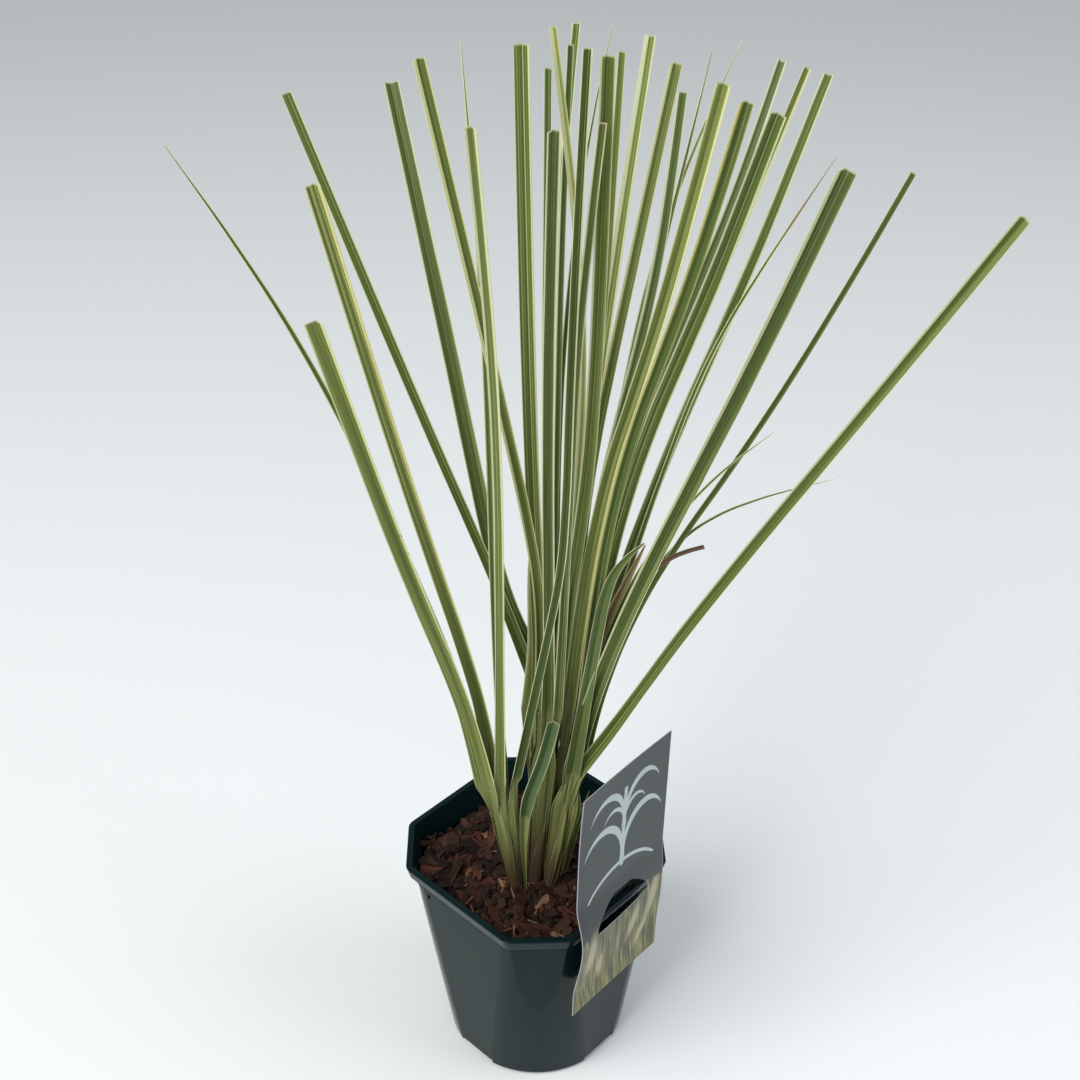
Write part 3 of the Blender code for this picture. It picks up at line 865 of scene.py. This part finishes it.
def leaf_finish(name, dark, bright, sheath, foot):
    """Green flesh between pale margins, with veins along the leaf. The strip's own map carries it.

    The sheath's colour takes the green's place low on a leaf, and the foot's colour the sheath's.
    These low colours are partly painted light and shade for the crown's lower parts.
    """
    finish = Finish(name, IOR=1.45, Specular_IOR_Level=0.24)
    mix, ease, most = finish.mix, finish.ease, finish.most
    across, along, _ = finish.split(finish.place("UV"))
    left, right, gold = finish.split(finish.stored("trim"))
    tone, rib, seed = finish.split(finish.stored("flesh"))
    withered, sheathed, _ = finish.split(finish.stored("age"))
    lines, cool, nicked = finish.split(finish.stored("streaks"))

    def threads(crosswise, lengthwise, detail):
        """Noise drawn out along the leaf."""
        return finish.grain(finish.vector(across * crosswise, along * lengthwise, seed), 1.0, detail)

    wobble = (threads(1.5, 5.0, 2.0) - 0.5) * 0.09
    stripes = threads(15.0, 1.2, 3.0)
    veins = threads(44.0, 2.0, 2.0)
    grown = ease(along, 0.12, 0.75) * 0.64 + 0.36
    left = left * grown
    right = right * grown
    pale_left = 1 - ease(across + wobble, left - 0.03, left + 0.03)
    pale_right = ease(across + wobble, 1 - right - 0.03, 1 - right + 0.03)
    from_middle = finish.reckon("ABSOLUTE", across - 0.5)
    pale_rib = rib * (1 - ease(from_middle, 0.01, 0.055))
    pale = most(most(pale_left, pale_right), pale_rib * 0.9)
    pale = most(pale, ease(stripes, 0.57, 0.64) * lines)
    green = mix(ease(tone * 0.8 + (stripes - 0.5) * 1.1, -0.1, 1.0), dark, bright)
    green = mix(veins - 0.28, green, (0.012, 0.025, 0.002))
    green = mix(cool, green, mix(stripes, (0.045, 0.090, 0.030), (0.125, 0.180, 0.080)))
    cream = mix(gold, (0.71, 0.77, 0.57), (0.72, 0.65, 0.24))
    colour = mix(pale * (0.82 + (veins - 0.5) * 0.6), green, cream)
    # The wrap's pale green is partly painted light, lifting the sheathed parts that lie in the crown's
    # shade.
    wrap_and_painted_light = mix(ease(stripes, 0.35, 0.65), sheath, (0.25, 0.27, 0.095))
    colour = mix(ease(sheathed, 0.0, 0.35) * 0.82, colour, wrap_and_painted_light)
    colour = mix(ease(sheathed + (stripes - 0.5) * 0.8, 0.42, 0.92) * 0.9, colour, foot)
    nick = ease(threads(0.0, 55.0, 2.0), 0.66, 0.70) * pale_right * nicked
    fading = ease(tone + (stripes - 0.5) * 0.7, 0.1, 0.9)
    straw = mix(fading, (0.085, 0.050, 0.040), (0.36, 0.23, 0.12))
    straw = mix(pale * tone, straw, (0.60, 0.50, 0.26))
    colour = mix(most(withered, nick), colour, straw)
    colour = mix(ease(along, 0.9980, 0.9990) * 0.7, colour, (0.55, 0.53, 0.36))
    finish.feed(Base_Color=colour, Roughness=0.42 + (veins - 0.5) * 0.3,
                Normal=finish.relief(veins * 0.5 + stripes, 0.15 * MM, 0.6))
    return finish


# Painted light and shade: this green is set lighter for the sheaths' tops, and their sheath colour
# darker for their shaded lower parts, over their own olive and purple brown.
sheath_green = leaf_finish("sheath_green", (0.120, 0.150, 0.038), (0.32, 0.36, 0.120),
                           (0.115, 0.125, 0.030), (0.075, 0.040, 0.028))
for shoot in SHOOTS:
    bpy.data.objects["sheaths_" + shoot].data.materials.append(sheath_green.material)


# Leaves.
# Long stiff blades, folded to a gutter along the middle, each green with cream or yellow margins of
# its own. The grower has trimmed most of them square. The fine ones kept their points.
BLADE_ROWS = 60
BLADE_THICK = 0.35 * MM
TRIMMED_WIDTH = 0.08  # how much wider a trimmed end is than its CAD section
SHEATHED_WIDTHS = (0.3, 0.55, 0.72)  # of a sheathed foot, against its CAD sections
ROOT_WIDTHS = (0.4, 1.1, 1.3, 1.15)  # of a blade's start in its sheath, against its full width
BROWN_FADE = 0.03  # over this share of its length a blade turns brown
SHEATH_FADE = 0.02  # and over this one its sheath turns into blade
LEAF_FOLD = 0.34


def look(left, right, gold, tone, rib, broad=1.0, turn=0, brown=2.0, lines=0.28, cool=0.0,
         nicked=0.15, sheathed=0.0, aside=0.0):
    """What one leaf looks like.

    Left and right: shares of its width that are pale. Gold: how yellow these are, tone: how yellow
    its green is, rib: how pale its middle is, lines: how pale its fine stripes are, cool: how blue
    its green is, and nicked: how brown the nicks in its right margin are, all from 0 to 1. Broad:
    its width against its CAD section. Turn: how far it is turned to the left, in degrees. Brown: the
    share of its length from which it is withered. Sheathed: the share up to which it is still
    sheath. Aside: how far right of its CAD node it stands, in mm.
    """
    return {"trim": (left, right, gold), "flesh": (tone, rib), "streaks": (lines, cool, nicked),
            "broad": broad, "turn": radians(turn), "brown": brown, "sheathed": sheathed,
            "aside": aside * MM}


LOOKS = {
    "left_leaf_1": look(0.12, 0.10, 0.3, 0.25, 0.2, broad=1.45),
    "left_leaf_2": look(0.06, 0.20, 0.6, 0.50, 0.1, nicked=1.0),
    "left_leaf_3": look(0.06, 0.24, 0.85, 0.50, 0.1, turn=15, lines=0.8),
    "left_leaf_4": look(0.22, 0.10, 0.3, 0.55, 0.1),
    "left_leaf_5": look(0.16, 0.30, 0.35, 0.60, 0.2),
    "left_leaf_6": look(0.05, 0.12, 0.3, 0.18, 0.1, lines=0.15),
    "front_leaf_1": look(0.03, 0.12, 0.5, 0.40, 0.9, broad=1.4, turn=15),
    "front_leaf_2": look(0.28, 0.07, 0.65, 0.40, 0.1),
    "front_leaf_3": look(0.08, 0.14, 0.3, 0.25, 0.1, broad=1.15),
    "front_leaf_4": look(0.42, 0.05, 0.4, 0.80, 0.2),
    "front_leaf_5": look(0.12, 0.03, 0.3, 0.40, 0.2, broad=1.1),
    "front_leaf_6": look(0.22, 0.10, 0.3, 0.40, 0.0, broad=1.2, brown=0.985),
    "front_leaf_7": look(0.12, 0.22, 0.2, 0.85, 0.1, broad=1.3, lines=0.5, aside=5.0),
    "back_leaf_1": look(0.05, 0.08, 0.4, 0.30, 0.5),
    "back_leaf_2": look(0.08, 0.06, 0.45, 0.20, 0.25, broad=1.12, lines=0.2),
    "back_leaf_3": look(0.10, 0.08, 0.2, 0.45, 0.2, cool=0.6),
    "back_leaf_4": look(0.20, 0.05, 0.3, 0.35, 0.1, broad=1.1, cool=0.4),
    "back_leaf_5": look(0.10, 0.10, 0.3, 0.40, 0.5),
    "back_leaf_6": look(0.12, 0.05, 0.2, 0.30, 0.0, cool=0.7),
    "back_leaf_7": look(0.14, 0.05, 0.3, 0.60, 0.3),
    "back_leaf_8": look(0.34, 0.14, 0.30, 0.60, 0.2, broad=1.15),
    "right_leaf_1": look(0.27, 0.04, 0.6, 0.55, 0.2, broad=1.1),
    "right_leaf_2": look(0.18, 0.05, 0.2, 0.35, 0.1, broad=1.2, cool=0.5),
    "right_leaf_3": look(0.10, 0.10, 0.3, 0.45, 0.0, brown=0.955),
    "right_leaf_4": look(0.08, 0.15, 0.5, 0.60, 0.35, broad=1.15, turn=15),
    "right_leaf_5": look(0.20, 0.10, 0.3, 0.60, 0.0),
    "right_leaf_6": look(0.20, 0.02, 0.90, 0.28, 0.0, broad=1.15, turn=-30, lines=0.7),
    "right_leaf_7": look(0.14, 0.10, 0.25, 0.35, 0.1, cool=0.4),
    "right_leaf_8": look(0.10, 0.07, 0.3, 0.30, 0.6, broad=1.15),
    "right_leaf_9": look(0.04, 0.20, 0.5, 0.60, 0.3),
    "right_leaf_10": look(0.12, 0.12, 0.3, 0.35, 0.2, broad=1.1),
    "right_leaf_11": look(0.15, 0.20, 0.4, 0.50, 0.0, brown=0.87),
    "right_leaf_12": look(0.10, 0.10, 0.3, 0.50, 0.0),
    "right_leaf_13": look(0.10, 0.10, 0.2, 0.40, 0.0),
    "right_leaf_14": look(0.04, 0.04, 0.5, 0.25, 0.0, broad=0.95, brown=-0.1),
    "right_leaf_15": look(0.12, 0.30, 0.5, 0.90, 0.0, broad=1.9, brown=-0.1),
    "outer_leaf_1": look(0.24, 0.03, 0.45, 0.25, 0.1, broad=1.05),
    "outer_leaf_2": look(0.30, 0.01, 0.4, 0.30, 0.2),
    "outer_leaf_3": look(0.16, 0.04, 0.3, 0.40, 0.1),
    "outer_leaf_4": look(0.02, 0.03, 0.3, 0.32, 0.1, broad=1.4, brown=0.975, lines=0.05, cool=0.35),
    "trimmed_front_leaf": look(0.03, 0.02, 0.2, 0.10, 0.0, lines=0.0, cool=0.75, sheathed=0.46),
    "young_side_leaf": look(0.35, 0.10, 0.6, 0.60, 0.2),
}
blade_blank = add_blank("blade_blank", BLADE_ROWS, lambda edge: LEAF_FOLD * edge)
# Painted light: the blades' sheath and foot colours are about twice as light as on the sheaths, lifting
# their lower parts where the crown shades them, over a sheath's own pale green.
leaf_green = leaf_finish("leaf_green", (0.053, 0.099, 0.015), (0.360, 0.405, 0.100),
                         (0.235, 0.255, 0.090), (0.15, 0.155, 0.055))


def add_leaf(node, looks):
    """One blade on the route of its CAD node, with its foot down in its sheath."""
    places, sides, widths = route_of(node)
    last = len(places) - 1
    trimmed = widths[last] > 0.5 * max(widths)
    for index in range(last + 1):
        grown = min(1, index / 2)
        spread = looks["broad"] * (1 + TRIMMED_WIDTH * (index / last) ** 2 if trimmed else 1)
        widths[index] *= 1 + (spread - 1) * grown
        along = (places[min(index + 1, last)] - places[max(index - 1, 0)]).normalized()
        sides[index].rotate(Matrix.Rotation(looks["turn"] * grown, 3, along))
        places[index].x += looks["aside"] * grown
    straight = [(before + after) / 2 for before, after in zip(places, places[2:])]
    places[2:last] = [place.lerp(even, 0.5) for place, even in zip(places[2:last], straight[1:])]
    kink = None
    buried = 0.0
    if looks["sheathed"]:
        widths[:3] = [width * share for width, share in zip(widths, SHEATHED_WIDTHS)]
    if node in feet:
        kink = 2
        buried = (feet[node][0] - places[0]).length
        places = feet[node] + places
        sides = [sides[0], sides[0]] + sides
        full = max(widths)
        widths = [full * share for share in ROOT_WIDTHS] + widths[2:]
    length = sum((after - before).length for before, after in zip(places, places[1:]))
    buried = max(buried / length, looks["sheathed"], 0.02)
    leaf = copy_of(blade_blank, "blade_" + node)
    bend_along(leaf, places, sides, widths, kink)
    paint(leaf, "trim", looks["trim"])
    paint(leaf, "flesh", (*looks["flesh"], dice.uniform(0, 9)))
    paint(leaf, "streaks", looks["streaks"])

    def age_at(share):
        still_sheath = clamp((buried - share) / SHEATH_FADE + 1.0)
        olive = (0.3 + 0.7 * max(0.0, 1 - share / buried)) * still_sheath
        return clamp((share - looks["brown"]) / BROWN_FADE), olive, 0.0

    age_rows(leaf, BLADE_ROWS, age_at)
    thicken(leaf, BLADE_THICK)
    bpy.ops.object.shade_smooth_by_angle(angle=LEAF_CREASE)
    leaf.data.materials.append(leaf_green.material)
    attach(leaf, "root")
    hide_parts(node)


for node, looks in LOOKS.items():
    add_leaf(node, looks)
bpy.data.objects.remove(blade_blank)


# Plant label.
# A tall card of thin printed plastic that hangs on the pot by the tongue in its arched opening. The
# rim pushes its left edge out, and its upper left corner curls.
CARD_WIDTH = 94.0 * MM
CARD_LOW = 105.0 * MM
CARD_TOP = 313.5 * MM
CARD_STAND = 85.9 * MM
CARD_THICK = 0.6 * MM
CARD_LEAN = 0.028
CARD_TURN = POT_TURN + radians(45)
FRONT = Vector((sin(CARD_TURN), -cos(CARD_TURN), 0))
CARD_GRID = (36, 72)
CARD_CREASE = radians(30)
EYE_LOW = 178.5 * MM  # the arched opening's lower and upper side, at its ends
EYE_SIDE = 184.0 * MM
EYE_HALF = 29.0 * MM
EYE_RISE = 18.5 * MM  # how far its middle goes up and down from there
EYE_SAG = 1.5 * MM
EYE_COLUMNS = 28
EYE_DEPTH = 10.0 * MM
CURL = 3.6 * MM  # how far the upper left corner curls out
CURL_HEIGHT = 250.0 * MM  # where its curl starts
CURL_BELOW = 0.33  # how much of it the left edge has further down
RIDGE_HEIGHT = 177.0 * MM
RIDGE_REACH = (38.0 * MM, 55.0 * MM)  # over and under its crest
RIDGE = 7.0 * MM  # how far the rim pushes the left edge out
RIDGE_RIGHT = 0.34  # the same at the right edge, against the left
TONGUE_ROWS = 24
TONGUE_WIDTHS = (44.0, 54.0, 55.0, 53.0, 46.0, 38.0)  # mm
TONGUE_ROUTE = ((-0.2, 206.0), (-0.1, 201.5), (-3.0, 194.0),  # out from the card and up, mm
                (-7.4, 186.5), (-9.6, 178.0), (-9.6, 167.5))


# The card is made in its own plane: x along it, z up, and y back towards the pot
def add_panel(name, grid, width, low, high, back=0.0):
    """An upright sheet with a grid of faces."""
    bpy.ops.mesh.primitive_grid_add(x_subdivisions=grid[0], y_subdivisions=grid[1], size=1,
                                    rotation=(radians(90), 0, 0))
    panel = name_active(name)
    panel.scale = (width, high - low, 1)
    panel.location = (0, back, (low + high) / 2)
    apply_all(panel)
    return panel


card_height = CARD_TOP - CARD_LOW
card = add_panel("plant_card", CARD_GRID, CARD_WIDTH, CARD_LOW, CARD_TOP)
thicken(card, CARD_THICK, -1.0, even=True)
eye = add_panel("eye", (EYE_COLUMNS, 1), 2 * EYE_HALF, EYE_LOW, EYE_SIDE, EYE_DEPTH / 2)
edit(eye)
for column in range(EYE_COLUMNS + 1):
    across = 2 * column / EYE_COLUMNS - 1
    for height, rise in ((EYE_SIDE, EYE_RISE), (EYE_LOW, -EYE_SAG)):
        pick("verts", lambda point: (abs(point.co.x - across * EYE_HALF) < NEAR
                                     and abs(point.co.z - height) < MM))
        bpy.ops.transform.translate(value=(0, 0, rise * (1 - across ** 2)))
pick_all()
bpy.ops.mesh.extrude_region_move(TRANSFORM_OT_translate={"value": (0, -EYE_DEPTH, 0)})
pick_all()
bpy.ops.mesh.normals_make_consistent(inside=False)
leave_edit()
combine(card, eye, "DIFFERENCE")


def curl_at(point):
    """How much of the curl a point of the card has, from 0 at its right edge."""
    left = 0.5 - point.x / CARD_WIDTH
    high = max(0.0, (point.z - CURL_HEIGHT) / (CARD_TOP - CURL_HEIGHT))
    return left ** 2 * (CURL_BELOW + (1 - CURL_BELOW) * high ** 2)


def ridge_at(point):
    """How much of the rim's push a point of the card has."""
    left = 0.5 - point.x / CARD_WIDTH
    over, under = RIDGE_REACH
    off = point.z - RIDGE_HEIGHT
    off = clamp(abs(off) / (over if off > 0 else under))
    return (RIDGE_RIGHT + (1 - RIDGE_RIGHT) * left) * (1 - off * off) ** 2


push(card, "curl", "Y", -CURL, curl_at)
push(card, "ridge", "Y", -RIDGE, ridge_at)
push(card, "lean", "X", -CARD_LEAN * card_height,
     lambda point: min(1.0, (CARD_TOP - point.z) / card_height))
apply_all(card)

tongue = add_blank("tongue", TONGUE_ROWS, lambda edge: 0.0)
route = [Vector((CARD_LEAN * (height * MM - CARD_TOP), -out * MM, height * MM))
         for out, height in TONGUE_ROUTE]
bend_along(tongue, route, [Vector((1, 0, 0))] * len(route), [width * MM for width in TONGUE_WIDTHS])
thicken(tongue, CARD_THICK, -1.0)
card_faces = len(card.data.polygons)
label = join([card, tongue], "plant_label_card")
label.rotation_euler = (0, 0, CARD_TURN)
label.location = FRONT * CARD_STAND
apply_all(label)
bpy.ops.object.shade_smooth_by_angle(angle=CARD_CREASE)

edit(label)
for slot in range(3):
    label.data.materials.append(None)
for slot, test in ((0, lambda face: face.normal.dot(FRONT) > 0.5),
                   (2, lambda face: abs(face.normal.dot(FRONT)) <= 0.5),
                   (1, lambda face: face.normal.dot(FRONT) < -0.5 or face.index >= card_faces)):
    pick("faces", test)
    label.active_material_index = slot
    bpy.ops.object.material_slot_assign()
leave_edit()

# The print is a plain design: a pale tuft of grass and a rule on slate grey, over a strip of plumes
# in a sunny field. Everything is drawn by distance from lines and arcs, in centimetres on the card.
MIDDLE = 4.7  # of the card, from its left edge
CRISP = 0.02  # half the width of an edge in the print
PLUMES = ((1.2, 5.6, 1.5, 4.4), (2.6, 3.4, 1.7, 3.0), (6.2, 5.2, 1.35, 3.6), (7.3, 3.0, 1.2, 3.0),
          (8.3, 6.2, 1.35, 4.6))  # across, up, turn and length of each
ink = Finish("card_print", IOR=1.47)
uv = ink.place("UV")
across, up, _ = ink.split(uv)
across = across * (CARD_WIDTH * 100)
up = up * (card_height * 100)


def far_from(x, y, flat=1.0, turn=0.0):
    """Distance of the print's place from a point. Turned and flattened, it gives ellipses."""
    right, high = across - x, up - y
    first = right * cos(turn) + high * sin(turn)
    second = (high * cos(turn) - right * sin(turn)) * flat
    return (first * first + second * second) ** 0.5


def above(value, edge):
    """1 where a value is more than an edge, 0 elsewhere, as crisp as print."""
    return ink.ease(value, edge - CRISP, edge + CRISP)


stem = 1 - above(ink.reckon("ABSOLUTE", across - MIDDLE), 0.17)
tuft = stem * above(up, 11.6) * (1 - above(up, 18.9))
for reach, top in ((1.15, 17.6), (1.9, 19.2), (2.15, 16.4)):
    for way in (-1, 1):
        around = far_from(MIDDLE + way * reach, top - reach * 1.35, 0.72)
        within = far_from(MIDDLE + way * reach * 1.10, top - reach * 1.62, 0.72)
        blade = (1 - above(around, reach)) * above(within, reach)
        tuft = ink.most(tuft, blade * above((across - MIDDLE) * way, 0.0))
ground = (1 - above(far_from(MIDDLE, 7.6), 4.6)) * above(far_from(MIDDLE, 7.1), 4.75)
motif = ink.most(tuft, ground * above(up, 10.4))
grey = ink.grain(uv, 6.0, 3.0)
slate = ink.mix(grey, (0.026, 0.036, 0.036), (0.036, 0.047, 0.046))
slate = ink.mix(1 - above(across, 0.75), slate, (0.030, 0.033, 0.043))
colour = ink.mix(motif, slate, (0.42, 0.49, 0.48))

leaning = ink.vector(across * 2.4 + up * 0.3, up * 0.16)
grass = ink.grain(leaning, 1.0, 4.0, 0.65)
stalks = ink.grain(leaning, 2.0, 1.0)
low = 1 - ink.ease(up, 2.5, 8.0)
field = ink.mix(low, (0.028, 0.036, 0.026), (0.048, 0.048, 0.014))
sunlit = ink.mix(low, (0.14, 0.130, 0.055), (0.185, 0.175, 0.045))
field = ink.mix(ink.ease(grass, 0.38, 0.58) * 0.9, field, sunlit)
field = ink.mix(ink.ease(stalks, 0.58, 0.66) * 0.6, field, (0.34, 0.32, 0.16))
for x, y, turn, length in PLUMES:
    ragged = far_from(x, y, 3.8, turn) + (grass - 0.5) * 2.6
    plume = 1 - ink.ease(ragged, length * 0.22, length * 0.60)
    field = ink.mix(plume * 0.8, field, (0.42, 0.37, 0.25))
horizon = 8.6 - (across - MIDDLE) * (across - MIDDLE) * 0.05 + (grass - 0.5) * 0.8
colour = ink.mix(ink.ease(up - horizon, -0.15, 0.15), field, colour)
border = ink.most(1 - above(across, 0.03), above(across, 9.37))
colour = ink.mix(border, colour, (0.42, 0.46, 0.46))
ink.feed(Base_Color=colour, Roughness=0.34 + grey * 0.08)

# The card's back and the tongue share this mid grey. On the tongue it is painted light: lighter than
# the slate print its face carries, it lifts the tongue where it lies in the arched opening's shade.
card_back_and_tongue_painted_light = Finish("card_back_and_tongue_painted_light", IOR=1.47, Base_Color=(0.105, 0.120, 0.130), Roughness=0.5)
card_edge = Finish("card_edge", IOR=1.47, Base_Color=(0.30, 0.33, 0.33), Roughness=0.5)
for slot, finish in enumerate((ink, card_back_and_tongue_painted_light, card_edge)):
    label.data.materials[slot] = finish.material
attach(label, "root")
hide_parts("plant_label")
